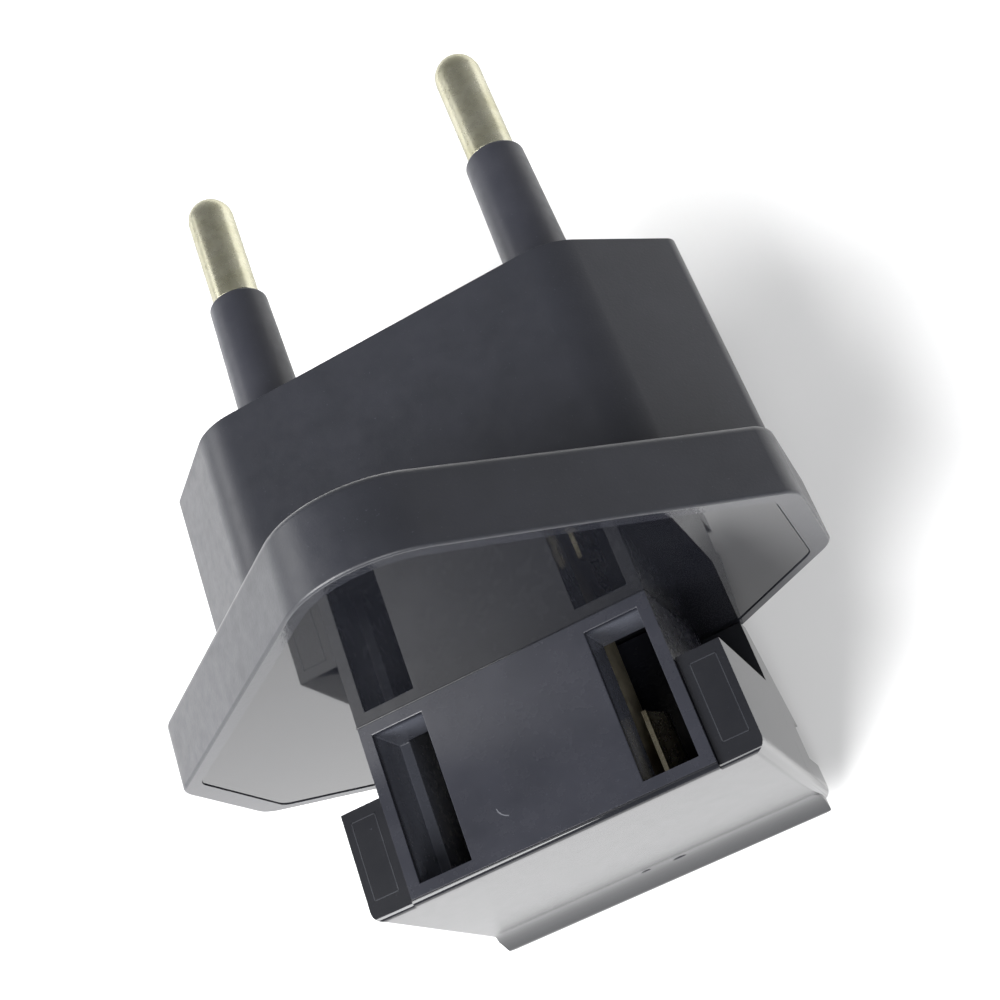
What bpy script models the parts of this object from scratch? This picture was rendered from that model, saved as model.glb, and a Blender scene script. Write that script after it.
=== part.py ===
"""Slide-on Europlug head for an interchangeable travel power adapter.

Frame: X runs from pin to pin, +Y is the way the pins point, +Z is the side with the two contact
slots. The origin is the middle of the face that the pins stand on, on the body's own axis.
"""
import math

import bmesh
import bpy
from mathutils import Vector

MM = 0.001

# Hexagonal plug body
BODY_WIDTH = 35.2 * MM
BODY_THICK = 13.0 * MM
BODY_FLAT = 22.7 * MM           # width of the flat front and back faces
BODY_LENGTH = 16.4 * MM         # pin face to the top of the flange
BODY_CORNER = 4.0 * MM
BODY_TIP = 1.0 * MM
WALL = 1.8 * MM

# Hexagonal flange under the body, wider than the body and set forward of its axis
FLANGE_WIDTH = 35.5 * MM
FLANGE_END = 8.8 * MM           # length of the flat at each end
FLANGE_SPAN = 41.8 * MM         # front tip to back tip, before the tips are rounded
FLANGE_THICK = 4.0 * MM
FLANGE_SHIFT = 3.8 * MM
FLANGE_TIP = 5.5 * MM
FLANGE_CORNER = 2.0 * MM
FLANGE_EDGE = 0.25 * MM
UNDERSIDE = -(BODY_LENGTH + FLANGE_THICK)

# Cover plate let into the underside of the flange
RIM_SIDE = 0.8 * MM
RIM_END = 1.25 * MM
SEAM = 0.2 * MM
PLATE_RECESS = 0.15 * MM
PLATE_THICK = 1.5 * MM

# Pins and their insulating sleeves
PIN_SPACING = 19.0 * MM
PIN_LENGTH = 19.8 * MM
PIN_RADIUS = 1.52 * MM
PIN_CORE = 1.2 * MM
COLLAR_RADIUS = 2.8 * MM
COLLAR_THICK = 1.0 * MM
TAIL_RADIUS = 0.9 * MM
RIVET_HEAD_RADIUS = 1.7 * MM
RIVET_HEAD_THICK = 0.7 * MM
SLEEVE_LENGTH = 11.3 * MM
SLEEVE_RADIUS_TOP = 1.9 * MM
SLEEVE_RADIUS_BASE = 2.1 * MM
SLEEVE_CHAMFER = 0.25 * MM
CLEARANCE = 0.15 * MM

# Contact block with its two slots
BLOCK_HALF = 8.5 * MM
BLOCK_FRONT = 5.26 * MM
BLOCK_BACK = -5.6 * MM
BLOCK_DROP = 9.42 * MM          # how far it stands below the flange
CAP = 1.0 * MM                  # how far its inner cap overhangs the cover plate
CAP_THICK = 0.85 * MM
CAP_BACK = -3.5 * MM
SLOT_INNER = 4.8 * MM
SLOT_OUTER = 7.8 * MM
SLOT_TOP = 0.63 * MM            # slot ends, below the flange
SLOT_BOTTOM = 8.8 * MM
MOUTH_DEPTH = 3.46 * MM
CHANNEL_INNER = 3.6 * MM
CHANNEL_OUTER = 7.2 * MM
CHANNEL_BACK = -5.2 * MM

# Sliding foot: two side rails, a thin floor and the back wall
RAIL_HALF = 10.95 * MM
FOOT_FRONT = 4.96 * MM
RAIL_TOP = 3.77 * MM            # distances below the flange
FOOT_BOTTOM = 9.75 * MM
FLOOR_THICK = 0.26 * MM
FOOT_CORNER = 0.7 * MM
WALL_FACE = -5.9 * MM           # front face, where the rail grooves end
WALL_TOP_BACK = -7.2 * MM
WALL_BACK = -12.7 * MM
WALL_CORNER = 0.5 * MM
WALL_BEND = 8.7 * MM            # its sloping back turns upright this far below the flange
WALL_GAP = 0.1 * MM             # between its top corners and the flange's rim
WEB_HALF = 8.0 * MM
LIP_DROP = 0.7 * MM             # hooked lip along the foot's back edge
LIP_RUN = 2.7 * MM
LIP_FLAT = 0.3 * MM
LIP_SQUARE = 1.5 * MM           # how far its square ends reach forward from the back
LIP_HALF = 10.6 * MM
DETENT_HEIGHT = 2.2 * MM
DETENT_DEPTH = 0.5 * MM
DETENT_FRONT = -9.6 * MM

# Contact strips and spring leaves
STRIP_THICK = 0.45 * MM
STRIP_INNER = 4.2 * MM
STRIP_BACK = -2.0 * MM
STRIP_FRONT = 1.4 * MM
TAB_END = 11.8 * MM
ARM_BACK = -5.0 * MM
LEAF_THICK = 0.25 * MM
LEAF_HEIGHT = 3.4 * MM
LEAF_DROP = 4.55 * MM           # upper edge of the leaf, below the flange
LEAF_FRONT = 1.6 * MM
LEAF_ROOT = -3.3 * MM
LEAF_BACK = -4.9 * MM
LEAF_BULGE = 0.85 * MM
LEAF_REACH = 0.45 * MM          # how far the leaf's free end stands off the strip
RIVET_Z = -4.1 * MM
RIVET_SHANK = 0.4 * MM
RIVET_HEAD = 0.75 * MM
RIVET_CROWN = 0.3 * MM
CROWN_RATIO = 0.7               # crown radius over head radius, on every rivet
LEAF_GAP = 0.15 * MM
STRIP_FACE = STRIP_INNER + STRIP_THICK
LEAF_LEVEL = UNDERSIDE - LEAF_DROP - LEAF_HEIGHT / 2

FAR = 40.0 * MM                 # reach of a cutter that runs right out of the part
BLACK = (0.018, 0.018, 0.021, 1.0)

while bpy.data.objects:
    bpy.data.objects.remove(bpy.data.objects[0])

parts = bpy.data.collections.new("europlug_slide_on_head")
cutters = bpy.data.collections.new("cutters")
for group in (parts, cutters):
    bpy.context.scene.collection.children.link(group)


def material(name, colour, roughness, metallic=0.0):
    mat = bpy.data.materials.new(name)
    mat.use_nodes = True
    shader = mat.node_tree.nodes["Principled BSDF"]
    shader.inputs["Base Color"].default_value = colour
    shader.inputs["Roughness"].default_value = roughness
    shader.inputs["Metallic"].default_value = metallic
    return mat


SATIN = material("black_satin_plastic", BLACK, 0.42)
GLOSS = material("black_gloss_plastic", BLACK, 0.2)
SLEEVE = material("sleeve_plastic", BLACK, 0.45)
NICKEL = material("nickel_brass", (0.62, 0.58, 0.46, 1), 0.25, 1.0)
BRASS = material("contact_brass", (0.60, 0.47, 0.22, 1), 0.3, 1.0)
BRONZE = material("spring_bronze", (0.66, 0.50, 0.26, 1), 0.28, 1.0)


def add_object(name, mesh, group, mat=None):
    obj = bpy.data.objects.new(name, mesh)
    group.objects.link(obj)
    if group is cutters:
        obj.hide_render = True
        obj.display_type = "WIRE"
    if mat:
        mesh.materials.append(mat)
    return obj


def rounded_outline(corners, radii, steps):
    """Points of an outline whose corners are arcs of the given radii; a radius of 0 stays sharp."""
    points = []
    for i, corner in enumerate(corners):
        if radii[i] == 0:
            points.append(corner)
            continue
        here = Vector(corner)
        before = (Vector(corners[i - 1]) - here).normalized()
        after = (Vector(corners[(i + 1) % len(corners)]) - here).normalized()
        half = before.angle(after) / 2
        centre = here + (before + after).normalized() * radii[i] / math.sin(half)
        start = here + before * radii[i] / math.tan(half) - centre
        end = here + after * radii[i] / math.tan(half) - centre
        sweep = -start.angle_signed(end)
        for k in range(steps + 1):
            turn = sweep * k / steps
            points.append((centre.x + start.x * math.cos(turn) - start.y * math.sin(turn),
                           centre.y + start.x * math.sin(turn) + start.y * math.cos(turn)))
    return points


def body_outline(inset=0.0, steps=5):
    """Europlug hexagon in X and Z, moved in by inset on every side."""
    tip, half = BODY_WIDTH / 2, BODY_THICK / 2
    slant = tip - BODY_FLAT / 2
    tip -= inset * math.hypot(slant, half) / half
    top = half - inset
    flat = tip - top * slant / half
    corners = [(tip, 0), (flat, top), (-flat, top), (-tip, 0), (-flat, -top), (flat, -top)]
    corner, point = max(BODY_CORNER - inset, BODY_TIP), max(BODY_TIP - inset, BODY_TIP / 2)
    return rounded_outline(corners, [point, corner, corner] * 2, steps)


def flange_outline(side=0.0, end=0.0, steps=7):
    """Flange hexagon moved in by one amount on its slanted sides and another at its flat ends."""
    run, rise = FLANGE_WIDTH / 2, (FLANGE_SPAN - FLANGE_END) / 2
    sink = side * math.hypot(run, rise) / run       # how far a slanted side sinks along Z
    w = run - end
    top = FLANGE_SPAN / 2 - sink
    e = top - w * rise / run
    corners = [(w, e), (0, top), (-w, e), (-w, -e), (0, -top), (w, -e)]
    tip, corner = FLANGE_TIP - side, FLANGE_CORNER - side
    outline = rounded_outline(corners, [corner, tip, corner] * 2, steps)
    return [(x, z + FLANGE_SHIFT) for x, z in outline]


def plate(name, outline, low, high, group, mat=None, axis="Y"):
    """An outline given thickness from low to high: in X, Z along Y, in Y, Z along X, or in X, Y along Z."""
    curve = bpy.data.curves.new(name, "CURVE")
    curve.dimensions = "2D"
    curve.fill_mode = "BOTH"
    curve.extrude = (high - low) / 2
    spline = curve.splines.new("POLY")
    spline.points.add(len(outline) - 1)
    for point, (u, v) in zip(spline.points, outline):
        point.co = (u, v, 0, 1)
    spline.use_cyclic_u = True
    flat = bpy.data.objects.new(f"{name}_outline", curve)
    cutters.objects.link(flat)
    quarter = math.radians(90)
    flat.rotation_euler = {"X": (quarter, 0, quarter), "Y": (quarter, 0, 0), "Z": (0, 0, 0)}[axis]
    flat.location["XYZ".index(axis)] = (low + high) / 2
    bpy.context.view_layer.update()
    shape = flat.evaluated_get(bpy.context.evaluated_depsgraph_get())
    mesh = bpy.data.meshes.new_from_object(shape)
    mesh.materials.clear()
    weld(mesh)
    solid = add_object(name, mesh, group, mat)
    solid.matrix_world = flat.matrix_world
    bpy.data.objects.remove(flat)
    return solid


def weld(mesh):
    bm = bmesh.new()
    bm.from_mesh(mesh)
    bmesh.ops.remove_doubles(bm, verts=bm.verts, dist=1e-7)
    bmesh.ops.recalc_face_normals(bm, faces=bm.faces)
    bm.to_mesh(mesh)
    bm.free()


def box(name, low, high, group, mat=None):
    mesh = bpy.data.meshes.new(name)
    bm = bmesh.new()
    bmesh.ops.create_cube(bm, size=1)
    bmesh.ops.scale(bm, vec=[b - a for a, b in zip(low, high)], verts=bm.verts)
    bm.to_mesh(mesh)
    bm.free()
    solid = add_object(name, mesh, group, mat)
    solid.location = [(a + b) / 2 for a, b in zip(low, high)]
    return solid


def turned(name, profile, group, mat=None, steps=28):
    """A profile of (radius, height) points, top to bottom on the outer side, turned about local Z."""
    mesh = bpy.data.meshes.new(name)
    closed = profile[0][0] > 0
    edges = [(i, i + 1) for i in range(len(profile) - 1)]
    if closed:
        edges.append((len(profile) - 1, 0))
    mesh.from_pydata([(r, 0, h) for r, h in profile], edges, [])
    solid = add_object(name, mesh, group, mat)
    screw = solid.modifiers.new("turn", "SCREW")
    screw.axis = "Z"
    screw.steps = screw.render_steps = steps
    screw.use_merge_vertices = True
    screw.merge_threshold = 0.00001
    screw.use_smooth_shade = True
    return solid


def along_y(obj, x=0.0, y=0.0, z=0.0):
    obj.rotation_euler = (math.radians(-90), 0, 0)
    obj.location = (x, y, z)


def combine(solid, operation, *others):
    for other in others:
        step = solid.modifiers.new(other.name, "BOOLEAN")
        step.operation = operation
        step.object = other
        step.solver = "EXACT"


def bevel(solid, width, segments=2, angle=30):
    edge = solid.modifiers.new("edge", "BEVEL")
    edge.width = width
    edge.segments = segments
    edge.limit_method = "ANGLE"
    edge.angle_limit = math.radians(angle)


PLATE_TOP = UNDERSIDE + PLATE_RECESS + PLATE_THICK
CAP_TOP = PLATE_TOP + SEAM + CAP_THICK


def below(distance):
    """World Y of a level the given distance under the flange."""
    return UNDERSIDE - distance


def rod(name, radius, low, high, x, z=0.0):
    solid = turned(name, [(0, high), (radius, high), (radius, low), (0, low)], cutters)
    along_y(solid, x=x, z=z)
    return solid


def make_shell():
    """Hexagonal plug body and flange, hollow from below, with a seat for the cover plate."""
    shell = plate("plug_shell", flange_outline(), UNDERSIDE, -BODY_LENGTH, parts, SATIN)
    bevel(shell, FLANGE_EDGE)
    body = plate("body_form", body_outline(), UNDERSIDE + FLANGE_THICK / 2, 0, cutters)
    hollow = plate("body_hollow", body_outline(WALL), -FAR, -WALL, cutters)
    seat = plate("plate_seat", flange_outline(RIM_SIDE, RIM_END), -FAR, PLATE_TOP + SEAM, cutters)
    room = CAP + SEAM
    cap_room = box("cap_room", (-BLOCK_HALF - room, -FAR, CAP_BACK - SEAM),
                   (BLOCK_HALF + room, CAP_TOP + SEAM, BLOCK_FRONT + room), cutters)
    block_room = box("block_room", (-BLOCK_HALF - SEAM, -FAR, BLOCK_BACK - SEAM),
                     (BLOCK_HALF + SEAM, CAP_TOP + SEAM, 0), cutters)
    combine(shell, "UNION", body)
    combine(shell, "DIFFERENCE", hollow, seat, cap_room, block_room)
    for side in (-1, 1):
        hole = rod(f"pin_hole_{side}", SLEEVE_RADIUS_BASE + CLEARANCE, -2 * WALL, WALL,
                   side * PIN_SPACING / 2)
        combine(shell, "DIFFERENCE", hole)


def make_base():
    """Cover plate, side rails, floor and back wall: one moulding that slides onto the power supply."""
    seat_half = BLOCK_HALF + CLEARANCE
    floor = below(FOOT_BOTTOM - FLOOR_THICK)
    base = plate("slide_base", flange_outline(RIM_SIDE + SEAM, RIM_END + SEAM),
                 UNDERSIDE + PLATE_RECESS, PLATE_TOP, parts, GLOSS)
    window = box("plate_window", (-seat_half, -FAR, BLOCK_BACK - CLEARANCE),
                 (seat_half, 0, BLOCK_FRONT + CLEARANCE), cutters)
    combine(base, "DIFFERENCE", window)
    combine(base, "UNION", rails_form(seat_half, floor), wall_form())
    web = box("web_form", (-WEB_HALF, floor, (WALL_TOP_BACK + WALL_FACE) / 2),
              (WEB_HALF, (UNDERSIDE + PLATE_TOP) / 2, BLOCK_BACK - CLEARANCE), cutters)
    combine(base, "UNION", web)
    level = below((RAIL_TOP + FOOT_BOTTOM) / 2)
    for side in (-1, 1):
        near, far = sorted((side * (RAIL_HALF - DETENT_DEPTH), side * FAR))
        notch = box(f"detent_{side}", (near, level - DETENT_HEIGHT / 2, -FAR),
                    (far, level + DETENT_HEIGHT / 2, DETENT_FRONT), cutters)
        combine(base, "DIFFERENCE", notch)


def foot_section(top):
    """Section of the foot in X and Y, with its two lower corners rounded."""
    corners = [(-RAIL_HALF, top), (-RAIL_HALF, below(FOOT_BOTTOM)), (RAIL_HALF, below(FOOT_BOTTOM)),
               (RAIL_HALF, top)]
    return rounded_outline(corners, [0, FOOT_CORNER, FOOT_CORNER, 0], 4)


def rails_form(seat_half, floor):
    """Trough of two rails and a floor, open to the front, that the contact block stands in."""
    trough = plate("rails_form", foot_section(below(RAIL_TOP)), (WALL_FACE + WALL_TOP_BACK) / 2,
                   FOOT_FRONT, cutters, axis="Z")
    seat = box("block_seat", (-seat_half, floor, BLOCK_BACK - CLEARANCE), (seat_half, 0, FAR), cutters)
    skin = box("floor_front", (-seat_half, below(FOOT_BOTTOM), 0), (seat_half, floor, BLOCK_FRONT), cutters)
    combine(trough, "DIFFERENCE", seat)
    combine(trough, "UNION", skin)
    return trough


def wall_form():
    """Back wall: upright in front, sloping behind, with a hooked lip along its lower edge."""
    profile = [(below(WALL_GAP), WALL_FACE), (below(WALL_GAP), WALL_TOP_BACK),
               (below(WALL_BEND), WALL_BACK), (below(FOOT_BOTTOM), WALL_BACK),
               (below(FOOT_BOTTOM), WALL_FACE)]
    wall = plate("wall_form", profile, -RAIL_HALF, RAIL_HALF, cutters, axis="X")
    plan = [(-RAIL_HALF, 0), (-RAIL_HALF, WALL_BACK), (RAIL_HALF, WALL_BACK), (RAIL_HALF, 0)]
    outline = rounded_outline(plan, [0, WALL_CORNER, WALL_CORNER, 0], 5)
    combine(wall, "INTERSECT", plate("wall_section", foot_section(0), -FAR, 0, cutters, axis="Z"),
            plate("wall_plan", outline, -FAR, 0, cutters))
    combine(wall, "UNION", lip_form())
    return wall


def lip_form():
    """Lip that curves down from the foot and widens a little towards the back."""
    front = WALL_BACK + LIP_FLAT + LIP_RUN
    root = below(FOOT_BOTTOM - FOOT_CORNER)
    curl = [(below(FOOT_BOTTOM + LIP_DROP * t * t), front - LIP_RUN * t) for t in (k / 5 for k in range(6))]
    profile = [(root, WALL_BACK), (below(FOOT_BOTTOM + LIP_DROP), WALL_BACK)] + curl[::-1]
    lip = plate("lip_form", profile + [(root, front)], -RAIL_HALF, RAIL_HALF, cutters, axis="X")
    narrow, square = RAIL_HALF - FOOT_CORNER, WALL_BACK + LIP_SQUARE
    plan = [(-narrow, front), (-LIP_HALF, square), (-LIP_HALF, WALL_BACK), (LIP_HALF, WALL_BACK),
            (LIP_HALF, square), (narrow, front)]
    outline = rounded_outline(plan, [0, 0, WALL_CORNER, WALL_CORNER, 0, 0], 5)
    combine(lip, "INTERSECT", plate("lip_plan", outline, -FAR, 0, cutters))
    return lip


def make_block():
    """Contact block: it drops through the cover plate from inside and hangs on its cap."""
    block = box("contact_block", (-BLOCK_HALF, below(BLOCK_DROP), BLOCK_BACK),
                (BLOCK_HALF, CAP_TOP, BLOCK_FRONT), parts, GLOSS)
    cap = box("cap_form", (-BLOCK_HALF - CAP, CAP_TOP - CAP_THICK, CAP_BACK),
              (BLOCK_HALF + CAP, CAP_TOP, BLOCK_FRONT + CAP), cutters)
    combine(block, "UNION", cap)
    for side in (-1, 1):
        inner, outer = sorted((side * SLOT_INNER, side * SLOT_OUTER))
        mouth = box(f"mouth_{side}", (inner, below(SLOT_BOTTOM), BLOCK_FRONT - MOUTH_DEPTH),
                    (outer, below(SLOT_TOP), FAR), cutters)
        inner, outer = sorted((side * CHANNEL_INNER, side * CHANNEL_OUTER))
        channel = box(f"channel_{side}", (inner, below(SLOT_BOTTOM - CLEARANCE), CHANNEL_BACK),
                      (outer, 0, BLOCK_FRONT - MOUTH_DEPTH + CLEARANCE), cutters)
        combine(block, "DIFFERENCE", mouth, channel)


def make_pin(side, label):
    shoulder = SLEEVE_LENGTH + CLEARANCE
    collar = -WALL - CLEARANCE
    tail = collar - COLLAR_THICK
    head = tail - STRIP_THICK - 2 * CLEARANCE
    arc = [(PIN_RADIUS * math.sin(a), PIN_LENGTH - PIN_RADIUS * (1 - math.cos(a)))
           for a in (math.radians(90) * k / 6 for k in range(7))]
    profile = arc + [(PIN_RADIUS, shoulder), (PIN_CORE, shoulder), (PIN_CORE, collar),
                     (COLLAR_RADIUS, collar), (COLLAR_RADIUS, tail), (TAIL_RADIUS, tail),
                     (TAIL_RADIUS, head), (RIVET_HEAD_RADIUS, head),
                     (RIVET_HEAD_RADIUS * CROWN_RATIO, head - RIVET_HEAD_THICK),
                     (0, head - RIVET_HEAD_THICK)]
    pin = turned(f"pin_{label}", profile, parts, NICKEL)
    along_y(pin, x=side * PIN_SPACING / 2)

    bore = PIN_CORE + CLEARANCE
    foot = -WALL + CLEARANCE
    outer = [(bore, SLEEVE_LENGTH), (SLEEVE_RADIUS_TOP - SLEEVE_CHAMFER, SLEEVE_LENGTH),
             (SLEEVE_RADIUS_TOP, SLEEVE_LENGTH - SLEEVE_CHAMFER),
             (SLEEVE_RADIUS_BASE, 0), (SLEEVE_RADIUS_BASE, foot), (bore, foot)]
    sleeve = turned(f"pin_sleeve_{label}", outer, parts, SLEEVE)
    along_y(sleeve, x=side * PIN_SPACING / 2)


def make_strip(side, label):
    """Brass strip: a tab riveted to the pin's tail, a riser through the block, and an arm at the slot."""
    tab_top = -WALL - 2 * CLEARANCE - COLLAR_THICK
    leaf_low = below(LEAF_DROP + LEAF_HEIGHT)
    outline = [(tab_top, STRIP_BACK), (tab_top, STRIP_FRONT), (leaf_low, STRIP_FRONT),
               (leaf_low, ARM_BACK), (below(LEAF_DROP), ARM_BACK), (below(LEAF_DROP), STRIP_BACK)]
    near, far = sorted((side * STRIP_INNER, side * STRIP_FACE))
    strip = plate(f"contact_strip_{label}", outline, near, far, parts, BRASS, axis="X")
    near, far = sorted((side * STRIP_INNER, side * TAB_END))
    tab = box(f"tab_{label}", (near, tab_top - STRIP_THICK, STRIP_BACK), (far, tab_top, -STRIP_BACK),
              cutters)
    hole = rod(f"tab_hole_{label}", TAIL_RADIUS + CLEARANCE, tab_top - WALL, tab_top + WALL,
               side * PIN_SPACING / 2)
    combine(strip, "UNION", tab)
    combine(strip, "DIFFERENCE", hole, rivet_hole(side, f"strip_rivet_hole_{label}"))


def rivet_hole(side, name):
    radius, reach = RIVET_SHANK + LEAF_GAP / 2, LEAF_HEIGHT / 2
    hole = turned(name, [(0, reach), (radius, reach), (radius, -reach), (0, -reach)], cutters)
    place_rivet(hole, side)
    return hole


def place_rivet(obj, side):
    obj.rotation_euler = (0, math.radians(90 * side), 0)
    obj.location = (side * STRIP_FACE, LEAF_LEVEL, RIVET_Z)


def leaf_offset(z):
    """How far the leaf's inner face stands off the strip at a height z."""
    t = max(0, (z - LEAF_ROOT) / (LEAF_FRONT - LEAF_ROOT))
    return LEAF_GAP + LEAF_BULGE * math.sin(math.pi * t) ** 2 + LEAF_REACH * t


def make_leaf(side, label):
    """Spring leaf on the strip's arm. Its origin is on the rivet, where it flexes."""
    hinge = STRIP_FACE + LEAF_GAP + LEAF_THICK / 2
    bend = [LEAF_ROOT + (LEAF_FRONT - LEAF_ROOT) * k / 12 for k in range(13)]
    path = [(STRIP_FACE + leaf_offset(z) - hinge, z - RIVET_Z) for z in [LEAF_BACK] + bend]
    inner = [(side * x, z) for x, z in path]
    outer = [(side * (x + LEAF_THICK), z) for x, z in reversed(path)]
    leaf = plate(f"contact_leaf_{label}", inner + outer, -LEAF_HEIGHT / 2, LEAF_HEIGHT / 2, parts, BRONZE)
    leaf.location = (side * hinge, LEAF_LEVEL, RIVET_Z)
    combine(leaf, "DIFFERENCE", rivet_hole(side, f"leaf_rivet_hole_{label}"))


def make_rivet(side, label):
    """Rivet through the leaf's root and the strip, headed on both sides."""
    top = LEAF_THICK + 2 * LEAF_GAP
    bottom = -STRIP_THICK - LEAF_GAP
    crown = RIVET_HEAD * CROWN_RATIO
    profile = [(0, top + RIVET_CROWN), (crown, top + RIVET_CROWN), (RIVET_HEAD, top), (RIVET_SHANK, top),
               (RIVET_SHANK, bottom), (RIVET_HEAD, bottom), (crown, bottom - RIVET_CROWN),
               (0, bottom - RIVET_CROWN)]
    rivet = turned(f"leaf_rivet_{label}", profile, parts, BRASS, steps=20)
    place_rivet(rivet, side)


make_shell()
make_base()
make_block()
for side, label in ((-1, "left"), (1, "right")):
    make_pin(side, label)
    make_strip(side, label)
    make_leaf(side, label)
    make_rivet(side, label)
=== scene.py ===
import math

import bmesh
import bpy
from mathutils import Matrix, Vector


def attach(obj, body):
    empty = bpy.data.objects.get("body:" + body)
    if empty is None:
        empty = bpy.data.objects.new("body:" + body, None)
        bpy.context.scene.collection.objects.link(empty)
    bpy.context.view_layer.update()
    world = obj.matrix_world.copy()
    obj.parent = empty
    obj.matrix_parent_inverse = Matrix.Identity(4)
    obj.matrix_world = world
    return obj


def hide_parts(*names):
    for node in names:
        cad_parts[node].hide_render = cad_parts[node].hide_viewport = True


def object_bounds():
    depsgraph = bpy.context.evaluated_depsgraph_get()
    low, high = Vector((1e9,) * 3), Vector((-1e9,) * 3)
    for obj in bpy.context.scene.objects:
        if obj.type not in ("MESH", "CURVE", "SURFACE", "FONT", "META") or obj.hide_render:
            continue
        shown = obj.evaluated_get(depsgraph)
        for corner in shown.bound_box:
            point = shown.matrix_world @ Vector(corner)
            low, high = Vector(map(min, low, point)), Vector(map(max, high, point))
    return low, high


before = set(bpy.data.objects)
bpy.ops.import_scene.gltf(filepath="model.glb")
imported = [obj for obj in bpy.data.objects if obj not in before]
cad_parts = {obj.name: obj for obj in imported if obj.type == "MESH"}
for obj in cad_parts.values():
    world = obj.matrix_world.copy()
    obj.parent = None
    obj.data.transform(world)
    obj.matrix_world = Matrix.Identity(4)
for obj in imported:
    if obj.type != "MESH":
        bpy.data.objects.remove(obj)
cad_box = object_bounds()

MM = 0.001
HEAD = "head"

# Sizes of the frame that the detailed pieces repeat
BODY_WIDTH, BODY_THICK, BODY_FLAT, BODY_LENGTH = 35.2 * MM, 13.0 * MM, 22.7 * MM, 16.4 * MM
BODY_CORNER, BODY_TIP, WALL = 4.0 * MM, 1.0 * MM, 1.8 * MM
FLANGE_WIDTH, FLANGE_END, FLANGE_SPAN = 35.5 * MM, 8.8 * MM, 41.8 * MM
FLANGE_THICK, FLANGE_SHIFT, FLANGE_TIP, FLANGE_CORNER = 4.0 * MM, 3.8 * MM, 5.5 * MM, 2.0 * MM
UNDERSIDE = -(BODY_LENGTH + FLANGE_THICK)
RIM_SIDE, RIM_END, SEAM = 0.8 * MM, 1.25 * MM, 0.2 * MM
PLATE_THICK = 1.5 * MM
PIN_SPACING, PIN_LENGTH, PIN_RADIUS, PIN_CORE = 19.0 * MM, 19.8 * MM, 1.52 * MM, 1.2 * MM
SLEEVE_LENGTH, SLEEVE_RADIUS_TOP, SLEEVE_RADIUS_BASE = 11.3 * MM, 1.9 * MM, 2.1 * MM
CLEARANCE = 0.15 * MM
BLOCK_HALF, BLOCK_FRONT, BLOCK_BACK, BLOCK_DROP = 8.5 * MM, 5.26 * MM, -5.6 * MM, 9.42 * MM
SLOT_INNER, SLOT_OUTER, SLOT_TOP, SLOT_BOTTOM = 4.8 * MM, 7.8 * MM, 0.63 * MM, 8.8 * MM
MOUTH_DEPTH, CHANNEL_INNER, CHANNEL_OUTER, CHANNEL_BACK = 3.46 * MM, 3.6 * MM, 7.2 * MM, -5.2 * MM
RAIL_HALF, FOOT_FRONT, RAIL_TOP, FOOT_BOTTOM = 10.95 * MM, 4.96 * MM, 3.77 * MM, 9.75 * MM
FLOOR_THICK, FOOT_CORNER = 0.26 * MM, 0.7 * MM
WALL_FACE, WALL_TOP_BACK, WALL_BACK = -5.9 * MM, -7.2 * MM, -12.7 * MM
WALL_CORNER, WALL_BEND, WALL_GAP, WEB_HALF = 0.5 * MM, 8.7 * MM, 0.1 * MM, 8.0 * MM
LIP_DROP, LIP_RUN, LIP_FLAT, LIP_SQUARE, LIP_HALF = 0.7 * MM, 2.7 * MM, 0.3 * MM, 1.5 * MM, 10.6 * MM
DETENT_HEIGHT, DETENT_DEPTH, DETENT_FRONT = 2.2 * MM, 0.5 * MM, -9.6 * MM
FAR = 40.0 * MM                  # past the head's own size, for cutters

# Sizes that are this script's own
PLATE_RECESS = 0.06 * MM
PLATE_TOP = UNDERSIDE + PLATE_RECESS + PLATE_THICK
FIT = 0.04 * MM                  # open line seen between pieces that touch in the real head
FOOT_FILLET = 0.3 * MM
FLANGE_TOP_EDGE, FLANGE_RIM_EDGE = 0.45 * MM, 0.16 * MM
SHELL_EDGE, BASE_EDGE, BLOCK_EDGE = 0.14 * MM, 0.07 * MM, 0.06 * MM
PIN_SHOULDER_EDGE, SLEEVE_EDGE, SLEEVE_BORE_GAP = 0.08 * MM, 0.22 * MM, 0.05 * MM
WELD_DISTANCE, MERGE_DISTANCE = 1e-7, 1e-5
FLOOR_HALF, FLOOR_GAP = 3.0, 0.05 * MM


def below(distance):
    """Height that lies this far under the flange, which is towards the foot."""
    return UNDERSIDE - distance


# Where each zone of a plastic begins and is complete, on one axis without its sign
FRONT_ZONE = (0.97, 0.99)        # share of Z in the direction that a face looks
FOOT_ZONE = (-below(FOOT_BOTTOM) - 0.05 * MM, -below(FOOT_BOTTOM) - 0.02 * MM)
UNDER_ZONE = (-UNDERSIDE - 0.03 * MM, -UNDERSIDE - 0.005 * MM)
# Zones deep in the block's slots, whose walls get painted light
SLOT_DEPTH_ZONE = (BLOCK_FRONT - 0.15 * MM, BLOCK_FRONT - 0.6 * MM)
SLOT_WIDTH_ZONE = (SLOT_OUTER + 0.3 * MM, SLOT_OUTER + 0.1 * MM)

cutters = bpy.data.collections.new("cutters")
bpy.context.scene.collection.children.link(cutters)
detail = bpy.data.collections.new("detail")
bpy.context.scene.collection.children.link(detail)


# Materials

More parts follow.
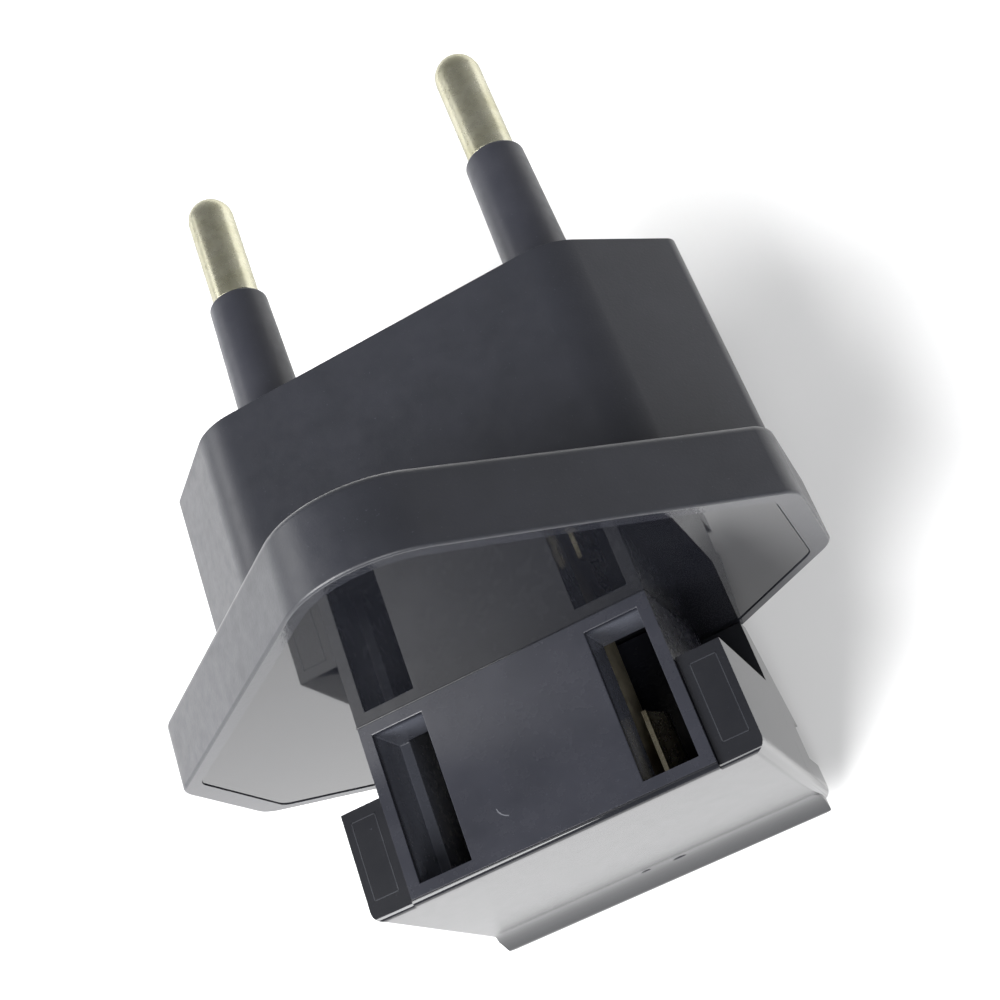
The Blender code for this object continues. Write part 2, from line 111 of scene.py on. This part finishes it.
class Nodes:
    """A node material being built; coordinates are the object's own, in metres."""

    def __init__(self, name):
        self.material = bpy.data.materials.new(name)
        self.material.use_nodes = True
        self.tree = self.material.node_tree
        self.shader = self.tree.nodes["Principled BSDF"]
        coordinates = self.tree.nodes.new("ShaderNodeTexCoord").outputs
        self.place, self.facing = coordinates["Object"], coordinates["Normal"]

    def link(self, source, target):
        self.tree.links.new(source, target)

    def noise(self, size, octaves=3.0, stretch=None):
        node = self.tree.nodes.new("ShaderNodeTexNoise")
        node.inputs["Scale"].default_value = 1 / size
        node.inputs["Detail"].default_value = octaves
        node.inputs["Roughness"].default_value = 0.55
        source = self.place
        if stretch:
            mapping = self.tree.nodes.new("ShaderNodeMapping")
            mapping.inputs["Scale"].default_value = stretch
            self.link(self.place, mapping.inputs["Vector"])
            source = mapping.outputs["Vector"]
        self.link(source, node.inputs["Vector"])
        return node.outputs["Fac"]

    def ramp(self, source, low, high, out_low, out_high):
        node = self.tree.nodes.new("ShaderNodeMapRange")
        limits = {"From Min": low, "From Max": high, "To Min": out_low, "To Max": out_high}
        for name, value in limits.items():
            node.inputs[name].default_value = value
        self.link(source, node.inputs["Value"])
        return node.outputs["Result"]

    def math(self, operation, a, b):
        node = self.tree.nodes.new("ShaderNodeMath")
        node.operation = operation
        for socket, value in zip(node.inputs, (a, b)):
            if isinstance(value, (int, float)):
                socket.default_value = value
            else:
                self.link(value, socket)
        return node.outputs["Value"]

    def add_share(self, value, factor, amount):
        return self.math("ADD", value, self.math("MULTIPLY", factor, amount))

    def mix(self, factor, a, b):
        node = self.tree.nodes.new("ShaderNodeMix")
        node.data_type = "RGBA"
        self.link(factor, node.inputs["Factor"])
        for name, value in (("A", a), ("B", b)):
            socket = [s for s in node.inputs if s.name == name and s.type == "RGBA"][0]
            if isinstance(value, tuple):
                socket.default_value = (*value, 1)
            else:
                self.link(value, socket)
        return [s for s in node.outputs if s.type == "RGBA"][0]

    def bump(self, height, distance, coarser=None):
        """Surface direction from a height, laid over a coarser bump where there is one."""
        node = self.tree.nodes.new("ShaderNodeBump")
        node.inputs["Strength"].default_value = 1.0
        node.inputs["Distance"].default_value = distance
        self.link(height, node.inputs["Height"])
        if coarser is not None:
            self.link(coarser, node.inputs["Normal"])
        return node.outputs["Normal"]

    def beyond(self, source, axis, start, end):
        """0 before a level on one axis of a vector and 1 past it, the axis taken without its sign."""
        split = self.tree.nodes.new("ShaderNodeSeparateXYZ")
        self.link(source, split.inputs[0])
        return self.ramp(self.math("ABSOLUTE", split.outputs[axis], 0.0), start, end, 0, 1)

    def finish(self, colour, roughness, normal):
        self.link(colour, self.shader.inputs["Base Color"])
        self.link(roughness, self.shader.inputs["Roughness"])
        self.link(normal, self.shader.inputs["Normal"])
        return self.material


def plastic(name, dark, light, rough_low, rough_high, grain, depth, ripple,
            front=0.0, bottom=0.0, under=0.0, slot_painted_light=None):
    """Moulded black plastic: mottled colour, uneven gloss, fine grain and a slow ripple in the surface.

    front, bottom and under are what the roughness gains on flat front faces, on the foot's bottom and on
    the flange's underside, and the last argument is painted light: a lighter colour on the walls deep in
    the slots, in place of the light that reaches into them.
    """
    n = Nodes(name)
    mottle = n.noise(3.0 * MM, 4.0)
    speck = n.noise(0.12 * MM, 2.0)
    colour = n.mix(n.ramp(mottle, 0.35, 0.65, 0, 1), dark, light)
    dust = n.ramp(speck, 0.70, 0.78, 0, 0.5)
    colour = n.mix(dust, colour, tuple(4 * c for c in light))
    gloss = n.ramp(n.noise(0.8 * MM, 4.0), 0.3, 0.7, rough_low, rough_high)
    if front:
        gloss = n.add_share(gloss, n.beyond(n.facing, "Z", *FRONT_ZONE), front)
    if bottom:
        gloss = n.add_share(gloss, n.beyond(n.place, "Y", *FOOT_ZONE), bottom)
    if under:
        gloss = n.add_share(gloss, n.beyond(n.place, "Y", *UNDER_ZONE), under)
    # Painted light: the walls deep in the slots are coloured lighter, standing in for the light that
    # reaches into them
    if slot_painted_light:
        deep = n.beyond(n.place, "Z", *SLOT_DEPTH_ZONE)
        between = n.beyond(n.place, "X", *SLOT_WIDTH_ZONE)
        colour = n.mix(n.math("MULTIPLY", deep, between), colour, slot_painted_light)
    wave = n.bump(n.noise(2.5 * MM, 1.0), ripple)
    fine = n.bump(n.noise(grain, 2.0), depth, wave)
    return n.finish(colour, gloss, fine)


def metal(name, clean, stained, rough_low, rough_high, lines, depth, stretch):
    """Bare or plated metal with fine tool lines, uneven gloss and faint stains."""
    n = Nodes(name)
    n.shader.inputs["Metallic"].default_value = 1.0
    n.shader.inputs["Specular Tint"].default_value = (0.5, 0.5, 0.5, 1)
    colour = n.mix(n.ramp(n.noise(1.6 * MM, 4.0), 0.4, 0.7, 0, 1), clean, stained)
    gloss = n.ramp(n.noise(0.5 * MM, 2.0), 0.3, 0.7, rough_low, rough_high)
    drawn = n.bump(n.noise(lines, 2.0, stretch=stretch), depth)
    return n.finish(colour, gloss, drawn)


SATIN = plastic("satin_plastic", (0.017, 0.018, 0.023), (0.020, 0.021, 0.027),
                0.32, 0.40, 0.16 * MM, 0.005 * MM, 0.003 * MM, under=-0.26)
GLOSS = plastic("gloss_plastic", (0.007, 0.0075, 0.010), (0.009, 0.0095, 0.012),
                0.03, 0.05, 0.4 * MM, 0.0004 * MM, 0.0015 * MM, front=0.22, bottom=0.20)
# The block's slots get painted light: their deep walls are coloured lighter in place of the light that
# reaches into them
FACE = plastic("block_plastic", (0.016, 0.017, 0.023), (0.020, 0.021, 0.028),
               0.24, 0.29, 0.2 * MM, 0.001 * MM, 0.0015 * MM, slot_painted_light=(0.09, 0.095, 0.115))
SCUFF = plastic("scuffed_plastic", (0.07, 0.073, 0.085), (0.10, 0.104, 0.12),
                0.35, 0.5, 0.1 * MM, 0.002 * MM, 0.0015 * MM)
FRAME = plastic("frame_plastic", (0.020, 0.021, 0.026), (0.028, 0.030, 0.036),
                0.25, 0.4, 0.1 * MM, 0.002 * MM, 0.0015 * MM)
SLEEVE = plastic("sleeve_plastic", (0.020, 0.021, 0.028), (0.026, 0.027, 0.035),
                 0.34, 0.48, 0.2 * MM, 0.003 * MM, 0.004 * MM)
NICKEL = metal("nickel_plate", (0.66, 0.64, 0.50), (0.56, 0.54, 0.39), 0.24, 0.32,
               0.05 * MM, 0.00008 * MM, (0.05, 1.0, 0.05))
BRASS = metal("contact_brass", (0.62, 0.56, 0.42), (0.50, 0.46, 0.36), 0.50, 0.62,
              0.06 * MM, 0.0015 * MM, (1.0, 1.0, 0.06))
BRONZE = metal("spring_bronze", (0.70, 0.64, 0.46), (0.55, 0.46, 0.28), 0.22, 0.36,
               0.06 * MM, 0.0015 * MM, (1.0, 1.0, 0.06))


# Shapes

def add_object(name, mesh, group=cutters, mat=None):
    obj = bpy.data.objects.new(name, mesh)
    group.objects.link(obj)
    if group is cutters:
        obj.hide_render = True
        obj.display_type = "WIRE"
    if mat:
        mesh.materials.append(mat)
    return obj


def rounded_outline(corners, radii, steps):
    points = []
    for i, corner in enumerate(corners):
        if radii[i] == 0:
            points.append(corner)
            continue
        here = Vector(corner)
        before = (Vector(corners[i - 1]) - here).normalized()
        after = (Vector(corners[(i + 1) % len(corners)]) - here).normalized()
        half = before.angle(after) / 2
        centre = here + (before + after).normalized() * radii[i] / math.sin(half)
        start = here + before * radii[i] / math.tan(half) - centre
        end = here + after * radii[i] / math.tan(half) - centre
        sweep = -start.angle_signed(end)
        for k in range(steps + 1):
            turn = sweep * k / steps
            points.append((centre.x + start.x * math.cos(turn) - start.y * math.sin(turn),
                           centre.y + start.x * math.sin(turn) + start.y * math.cos(turn)))
    return points


def body_outline(inset=0.0):
    tip, half = BODY_WIDTH / 2, BODY_THICK / 2
    slant = tip - BODY_FLAT / 2
    tip -= inset * math.hypot(slant, half) / half
    top = half - inset
    flat = tip - top * slant / half
    corners = [(tip, 0), (flat, top), (-flat, top), (-tip, 0), (-flat, -top), (flat, -top)]
    corner, point = max(BODY_CORNER - inset, BODY_TIP), max(BODY_TIP - inset, BODY_TIP / 2)
    return rounded_outline(corners, [point, corner, corner] * 2, 12)


def flange_outline(side=0.0, end=0.0):
    """The flange's six-sided outline, drawn in by one margin on its slanting sides and one at its ends."""
    run, rise = FLANGE_WIDTH / 2, (FLANGE_SPAN - FLANGE_END) / 2
    sink = side * math.hypot(run, rise) / run
    half = run - end
    top = FLANGE_SPAN / 2 - sink
    low = top - half * rise / run
    corners = [(half, low), (0, top), (-half, low), (-half, -low), (0, -top), (half, -low)]
    tip, corner = FLANGE_TIP - side, FLANGE_CORNER - side
    outline = rounded_outline(corners, [corner, tip, corner] * 2, 14)
    return [(x, z + FLANGE_SHIFT) for x, z in outline]


def weld(mesh):
    bm = bmesh.new()
    bm.from_mesh(mesh)
    bmesh.ops.remove_doubles(bm, verts=bm.verts, dist=WELD_DISTANCE)
    bmesh.ops.recalc_face_normals(bm, faces=bm.faces)
    bm.to_mesh(mesh)
    bm.free()


def plate(name, outline, low, high, group=cutters, mat=None, axis="Y"):
    """An outline given thickness from low to high: in X, Z along Y, in Y, Z along X, or in X, Y along Z."""
    mesh = bpy.data.meshes.new(name)
    bm = bmesh.new()
    verts = [bm.verts.new((u, v, 0)) for u, v in outline]
    face = bm.faces.new(verts)
    made = bmesh.ops.extrude_face_region(bm, geom=[face])
    raised = [v for v in made["geom"] if isinstance(v, bmesh.types.BMVert)]
    bmesh.ops.translate(bm, vec=(0, 0, high - low), verts=raised)
    turn = {"X": Matrix(((0, 0, 1), (1, 0, 0), (0, 1, 0))),
            "Y": Matrix(((1, 0, 0), (0, 0, 1), (0, 1, 0))),
            "Z": Matrix.Identity(3)}[axis]
    shift = Vector((0, 0, 0))
    shift["XYZ".index(axis)] = low
    bmesh.ops.transform(bm, matrix=Matrix.Translation(shift) @ turn.to_4x4(), verts=bm.verts)
    bmesh.ops.recalc_face_normals(bm, faces=bm.faces)
    bm.to_mesh(mesh)
    bm.free()
    return add_object(name, mesh, group, mat)


def box(name, low, high, group=cutters, mat=None):
    mesh = bpy.data.meshes.new(name)
    bm = bmesh.new()
    bmesh.ops.create_cube(bm, size=1)
    bmesh.ops.scale(bm, vec=[b - a for a, b in zip(low, high)], verts=bm.verts)
    bmesh.ops.translate(bm, vec=[(a + b) / 2 for a, b in zip(low, high)], verts=bm.verts)
    bm.to_mesh(mesh)
    bm.free()
    return add_object(name, mesh, group, mat)


def turned(name, profile, mat, x):
    """A profile of (radius, height) points turned about an axis along Y, which then moves to x."""
    mesh = bpy.data.meshes.new(name)
    closed = [(len(profile) - 1, 0)] if profile[0][0] > 0 else []
    mesh.from_pydata([(r, h, 0) for r, h in profile],
                     [(i, i + 1) for i in range(len(profile) - 1)] + closed, [])
    solid = add_object(name, mesh, detail, mat)
    screw = solid.modifiers.new("turn", "SCREW")
    screw.axis = "Y"
    screw.steps = screw.render_steps = 72
    screw.use_merge_vertices = True
    screw.merge_threshold = MERGE_DISTANCE
    bake(solid)
    weld(solid.data)
    solid.data.transform(Matrix.Translation((x, 0, 0)))
    return solid


def combine(solid, operation, *others):
    for other in others:
        step = solid.modifiers.new(other.name, "BOOLEAN")
        step.operation = operation
        step.object = other
        step.solver = "EXACT"


def bevel(solid, width):
    edge = solid.modifiers.new("edge", "BEVEL")
    edge.width = width
    edge.segments = 3
    edge.limit_method = "ANGLE"
    edge.angle_limit = math.radians(30)


def round_edges(solid, level, radius):
    """Rounds the edges that lie wholly at one height along Y."""
    bm = bmesh.new()
    bm.from_mesh(solid.data)
    edges = [e for e in bm.edges if all(abs(v.co.y - level) < 0.001 * MM for v in e.verts)]
    bmesh.ops.bevel(bm, geom=edges, offset=radius, segments=5, profile=0.5, affect="EDGES")
    bm.to_mesh(solid.data)
    bm.free()


def bake(solid):
    """Makes the modifiers' result the object's own mesh."""
    bpy.context.view_layer.update()
    shape = solid.evaluated_get(bpy.context.evaluated_depsgraph_get())
    mesh = bpy.data.meshes.new_from_object(shape)
    solid.modifiers.clear()
    solid.data = mesh
    return solid


def smooth(solid):
    """Smooth shading in which large faces keep their own direction and sharp edges stay sharp."""
    solid.data.polygons.foreach_set("use_smooth", [True] * len(solid.data.polygons))
    solid.data.set_sharp_from_angle(angle=math.radians(35))
    level = solid.modifiers.new("normals", "WEIGHTED_NORMAL")
    level.mode = "FACE_AREA"
    level.weight = 100
    level.keep_sharp = True


def quarter_turn(steps):
    return [math.radians(90) * k / steps for k in range(steps + 1)]


# Pieces

def make_shell():
    shell = plate("shell_detail", flange_outline(), UNDERSIDE, -BODY_LENGTH, detail, SATIN)
    round_edges(shell, -BODY_LENGTH, FLANGE_TOP_EDGE)
    round_edges(shell, UNDERSIDE, FLANGE_RIM_EDGE)
    body = plate("body_form", body_outline(), UNDERSIDE + FLANGE_THICK / 2, 0)
    hollow = plate("body_hollow", body_outline(WALL), -FAR, -WALL)
    seat = plate("plate_seat", flange_outline(RIM_SIDE, RIM_END), -FAR, PLATE_TOP + SEAM)
    combine(shell, "UNION", body)
    combine(shell, "DIFFERENCE", hollow, seat)
    bevel(shell, SHELL_EDGE)
    bake(shell)
    smooth(shell)
    return shell


def foot_section(top):
    """Section of the foot across the head, reaching up to a level."""
    corners = [(-RAIL_HALF, top), (-RAIL_HALF, below(FOOT_BOTTOM)), (RAIL_HALF, below(FOOT_BOTTOM)),
               (RAIL_HALF, top)]
    return rounded_outline(corners, [0, FOOT_CORNER, FOOT_CORNER, 0], 8)


def front_form(name, half, back, front, top):
    """Block between two levels along Z whose lower front edge has the foot's fillet."""
    low = below(FOOT_BOTTOM)
    outline = rounded_outline([(low, back), (low, front), (top, front), (top, back)],
                              [0, FOOT_FILLET, 0, 0], 6)
    return plate(name, outline, -half, half, axis="X")


def rails_form(floor):
    """The two rails and the thin floor between them, with the block's seat cut out."""
    back = (WALL_FACE + WALL_TOP_BACK) / 2
    trough = plate("rails_form", foot_section(below(RAIL_TOP)), -FAR, FAR, axis="Z")
    seat = box("block_seat", (-BLOCK_HALF - FIT, floor, BLOCK_BACK - CLEARANCE), (BLOCK_HALF + FIT, 0, FAR))
    combine(trough, "INTERSECT", front_form("rails_side", RAIL_HALF + MM, back, FOOT_FRONT, 0))
    combine(trough, "DIFFERENCE", seat)
    combine(trough, "UNION", front_form("floor_front", BLOCK_HALF, 0, BLOCK_FRONT, below(BLOCK_DROP)))
    return trough


def wall_form():
    """Wall behind the block, whose back slopes out towards the lip."""
    profile = [(below(WALL_GAP), WALL_FACE), (below(WALL_GAP), WALL_TOP_BACK),
               (below(WALL_BEND), WALL_BACK), (below(FOOT_BOTTOM), WALL_BACK),
               (below(FOOT_BOTTOM), WALL_FACE)]
    wall = plate("wall_form", profile, -RAIL_HALF, RAIL_HALF, axis="X")
    plan = [(-RAIL_HALF, 0), (-RAIL_HALF, WALL_BACK), (RAIL_HALF, WALL_BACK), (RAIL_HALF, 0)]
    outline = rounded_outline(plan, [0, WALL_CORNER, WALL_CORNER, 0], 10)
    combine(wall, "INTERSECT", plate("wall_section", foot_section(0), -FAR, 0, axis="Z"),
            plate("wall_plan", outline, -FAR, 0))
    combine(wall, "UNION", lip_form())
    return wall


def lip_form():
    """Lip that curls down from the foot's bottom along its back edge."""
    front = WALL_BACK + LIP_FLAT + LIP_RUN
    root = below(FOOT_BOTTOM - FOOT_CORNER)
    shares = [k / 14 for k in range(15)]
    curl = [(below(FOOT_BOTTOM + LIP_DROP * t * t), front - LIP_RUN * t) for t in shares]
    profile = [(root, WALL_BACK), (below(FOOT_BOTTOM + LIP_DROP), WALL_BACK)] + curl[::-1]
    lip = plate("lip_form", profile + [(root, front)], -RAIL_HALF, RAIL_HALF, axis="X")
    narrow, square = RAIL_HALF - FOOT_CORNER, WALL_BACK + LIP_SQUARE
    plan = [(-narrow, front), (-LIP_HALF, square), (-LIP_HALF, WALL_BACK), (LIP_HALF, WALL_BACK),
            (LIP_HALF, square), (narrow, front)]
    outline = rounded_outline(plan, [0, 0, WALL_CORNER, WALL_CORNER, 0, 0], 10)
    combine(lip, "INTERSECT", plate("lip_plan", outline, -FAR, 0))
    return lip


def make_base():
    floor = below(FOOT_BOTTOM - FLOOR_THICK)
    base = plate("base_detail", flange_outline(RIM_SIDE + FIT, RIM_END + FIT),
                 UNDERSIDE + PLATE_RECESS, PLATE_TOP, detail, GLOSS)
    window = box("plate_window", (-BLOCK_HALF - FIT, -FAR, BLOCK_BACK - CLEARANCE),
                 (BLOCK_HALF + FIT, 0, BLOCK_FRONT + FIT))
    web = box("web_form", (-WEB_HALF, floor, (WALL_TOP_BACK + WALL_FACE) / 2),
              (WEB_HALF, (UNDERSIDE + PLATE_TOP) / 2, BLOCK_BACK - CLEARANCE))
    combine(base, "DIFFERENCE", window)
    combine(base, "UNION", rails_form(floor), wall_form(), web)
    level = below((RAIL_TOP + FOOT_BOTTOM) / 2)
    for side in (-1, 1):
        near, far = sorted((side * (RAIL_HALF - DETENT_DEPTH), side * FAR))
        notch = box(f"detent_{side}", (near, level - DETENT_HEIGHT / 2, -FAR),
                    (far, level + DETENT_HEIGHT / 2, DETENT_FRONT))
        combine(base, "DIFFERENCE", notch)
    bevel(base, BASE_EDGE)
    bake(base)
    smooth(base)
    return base


def make_block():
    block = box("block_detail", (-BLOCK_HALF, below(BLOCK_DROP), BLOCK_BACK),
                (BLOCK_HALF, PLATE_TOP, BLOCK_FRONT), detail, FACE)
    for side in (-1, 1):
        inner, outer = sorted((side * SLOT_INNER, side * SLOT_OUTER))
        mouth = box(f"mouth_{side}", (inner, below(SLOT_BOTTOM), BLOCK_FRONT - MOUTH_DEPTH),
                    (outer, below(SLOT_TOP), FAR))
        inner, outer = sorted((side * CHANNEL_INNER, side * CHANNEL_OUTER))
        channel = box(f"channel_{side}", (inner, below(SLOT_BOTTOM - CLEARANCE), CHANNEL_BACK),
                      (outer, 0, BLOCK_FRONT - MOUTH_DEPTH + CLEARANCE))
        combine(block, "DIFFERENCE", mouth, channel)
    bevel(block, BLOCK_EDGE)
    bake(block)
    smooth(block)
    return block


def make_pin(side, label):
    """One round pin with its domed tip, and the sleeve that covers its lower part."""
    place = side * PIN_SPACING / 2
    arc = [(PIN_RADIUS * math.sin(a), PIN_LENGTH - PIN_RADIUS * (1 - math.cos(a)))
           for a in quarter_turn(14)]
    shoulder = SLEEVE_LENGTH + CLEARANCE
    edge = PIN_SHOULDER_EDGE
    profile = arc + [(PIN_RADIUS, shoulder + edge), (PIN_RADIUS - edge, shoulder), (PIN_CORE, shoulder),
                     (PIN_CORE, -WALL), (0, -WALL)]
    pin = turned(f"pin_detail_{label}", profile, NICKEL, place)
    smooth(pin)
    bore, foot, top = PIN_CORE + SLEEVE_BORE_GAP, -WALL + CLEARANCE, SLEEVE_LENGTH
    edge = SLEEVE_EDGE
    rim = [(SLEEVE_RADIUS_TOP - edge * (1 - math.sin(a)), top - edge * (1 - math.cos(a)))
           for a in quarter_turn(6)]
    outer = [(bore, top)] + rim + [(SLEEVE_RADIUS_BASE, 0), (SLEEVE_RADIUS_BASE, foot), (bore, foot)]
    sleeve = turned(f"sleeve_detail_{label}", outer, SLEEVE, place)
    smooth(sleeve)
    return pin, sleeve


def join(name, pieces, mat):
    """One detail object from several small closed forms."""
    mesh = bpy.data.meshes.new(name)
    bm = bmesh.new()
    for piece in pieces:
        bm.from_mesh(piece.data)
        bpy.data.objects.remove(piece)
    bm.to_mesh(mesh)
    bm.free()
    return add_object(name, mesh, detail, mat)


def make_frames():
    """Faint raised frame line on the front end of each rail."""
    half, proud = 0.025 * MM, 0.012 * MM
    near, far, high, low = 9.1 * MM, 10.5 * MM, below(4.4 * MM), below(8.6 * MM)
    lines = ((near, far, high, high), (near, far, low, low),
             (near, near, low, high), (far, far, low, high))
    bars = []
    for side in (-1, 1):
        for inner, outer, bottom, top in lines:
            left, right = sorted((side * inner, side * outer))
            bars.append(box("frame_bar", (left - half, bottom - half, FOOT_FRONT - half),
                            (right + half, top + half, FOOT_FRONT + proud)))
    return join("rail_frames", bars, FRAME)


def make_scuff():
    """Short curved scratch on the front of the block, its edge raised and whitened."""
    points = [(-2.70, -27.40), (-2.64, -27.60), (-2.52, -27.76), (-2.36, -27.88), (-2.18, -27.96)]
    half, proud = 0.02 * MM, 0.008 * MM
    outline = [(x * MM + half, y * MM + half) for x, y in points]
    outline += [(x * MM - half, y * MM - half) for x, y in reversed(points)]
    return plate("block_scuff", outline, BLOCK_FRONT - half, BLOCK_FRONT + proud, detail, SCUFF, axis="Z")


def make_flash():
    """Fine bead of flash along the line where the block comes through the cover plate."""
    radius, steps = 0.045 * MM, 12
    ring = [(UNDERSIDE + PLATE_RECESS + radius * math.cos(a), BLOCK_FRONT + radius * math.sin(a))
            for a in (math.radians(360) * k / steps for k in range(steps))]
    bead = plate("plate_flash", ring, -BLOCK_HALF, BLOCK_HALF, detail, GLOSS, axis="X")
    smooth(bead)
    return bead


def make_gate_marks():
    """Two low dark scars of the moulding gates near the lip."""
    half_height, half_width = 0.05 * MM, 0.13 * MM
    marks = []
    for x, z, half_length in ((1.7 * MM, -10.5 * MM, 0.42 * MM), (-0.4 * MM, -10.3 * MM, 0.30 * MM)):
        mesh = bpy.data.meshes.new("gate_mark")
        bm = bmesh.new()
        bmesh.ops.create_uvsphere(bm, u_segments=24, v_segments=12, radius=1)
        bmesh.ops.scale(bm, vec=(half_length, half_height, half_width), verts=bm.verts)
        drop = LIP_DROP * ((WALL_BACK + LIP_FLAT + LIP_RUN - z) / LIP_RUN) ** 2
        bmesh.ops.translate(bm, vec=(x, below(FOOT_BOTTOM + drop), z), verts=bm.verts)
        bm.to_mesh(mesh)
        bm.free()
        marks.append(add_object("gate_mark", mesh))
    return join("gate_marks", marks, SATIN)


def take(piece, node):
    """Gives a detailed piece the place of its solid in the frame."""
    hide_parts(node)
    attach(piece, HEAD)


take(make_shell(), "plug_shell")
take(make_base(), "slide_base")
take(make_block(), "contact_block")
for extra in (make_frames(), make_scuff(), make_flash(), make_gate_marks()):
    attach(extra, HEAD)
for side, label in ((-1, "left"), (1, "right")):
    pin, sleeve = make_pin(side, label)
    take(pin, f"pin_{label}")
    take(sleeve, f"pin_sleeve_{label}")
    for node, mat in (("contact_strip", BRASS), ("contact_leaf", BRONZE), ("leaf_rivet", BRASS)):
        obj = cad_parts[f"{node}_{label}"]
        for slot in obj.material_slots:
            slot.material = mat


# Floor, light and camera

def make_floor():
    mesh = bpy.data.meshes.new("floor")
    bm = bmesh.new()
    bmesh.ops.create_grid(bm, x_segments=1, y_segments=1, size=FLOOR_HALF)
    bm.to_mesh(mesh)
    bm.free()
    paper = Nodes("floor_paper")
    paper.shader.inputs["Specular IOR Level"].default_value = 0.1
    colour = paper.mix(paper.noise(8 * MM), (0.86, 0.86, 0.86), (0.88, 0.88, 0.88))
    gloss = paper.ramp(paper.noise(2 * MM), 0.3, 0.7, 0.7, 0.8)
    fibre = paper.bump(paper.noise(0.3 * MM), 0.002 * MM)
    floor = add_object("floor", mesh, detail, paper.finish(colour, gloss, fibre))
    floor.location.z = cad_box[0].z - FLOOR_GAP
    return floor


def make_softbox(name, direction, distance, size, power):
    """Round soft light at a distance in one direction from the origin, which it looks at."""
    light = bpy.data.lights.new(name, "AREA")
    light.shape = "DISK"
    light.size = size
    light.energy = power
    lamp = bpy.data.objects.new(name, light)
    bpy.context.scene.collection.objects.link(lamp)
    place = Vector(direction).normalized() * distance
    lamp.location = place
    lamp.rotation_mode = "QUATERNION"
    lamp.rotation_quaternion = (-place).to_track_quat("-Z", "Y")


def make_world():
    """Pale room that is brighter near the horizon than overhead."""
    world = bpy.data.worlds.new("studio")
    bpy.context.scene.world = world
    world.use_nodes = True
    tree = world.node_tree
    sky = tree.nodes.new("ShaderNodeTexCoord")
    split = tree.nodes.new("ShaderNodeSeparateXYZ")
    shade = tree.nodes.new("ShaderNodeMapRange")
    limits = {"From Min": 0.0, "From Max": 0.7, "To Min": 0.6, "To Max": 0.24}
    for name, value in limits.items():
        shade.inputs[name].default_value = value
    tree.links.new(sky.outputs["Generated"], split.inputs[0])
    tree.links.new(split.outputs["Z"], shade.inputs["Value"])
    background = tree.nodes["Background"]
    tree.links.new(shade.outputs["Result"], background.inputs["Strength"])
    background.inputs["Color"].default_value = (0.97, 0.98, 1.0, 1)


def make_camera():
    data = bpy.data.cameras.new("camera")
    data.sensor_width = 36
    data.lens = 55.54
    data.clip_start = 1 * MM
    data.clip_end = 20
    camera = bpy.data.objects.new("camera", data)
    bpy.context.scene.collection.objects.link(camera)
    place = Vector((20.63, -47.17, 77.69)) * MM
    right, up = Vector((0.8701, -0.3286, -0.3674)), Vector((0.4453, 0.8436, 0.3001))
    turn = Matrix((right, up, right.cross(up))).transposed()
    camera.matrix_world = Matrix.Translation(place) @ turn.to_4x4()
    bpy.context.scene.camera = camera


floor = make_floor()
make_softbox("softbox_key", (-0.60, -0.40, 0.70), 0.7, 0.60, 12)
make_softbox("softbox_fill", (0.25, -0.65, 0.72), 0.7, 0.40, 3)
make_softbox("softbox_left", (-0.81, 0.43, 0.37), 0.6, 0.22, 0.4)
make_world()
make_camera()
bpy.context.scene.view_settings.view_transform = "Standard"
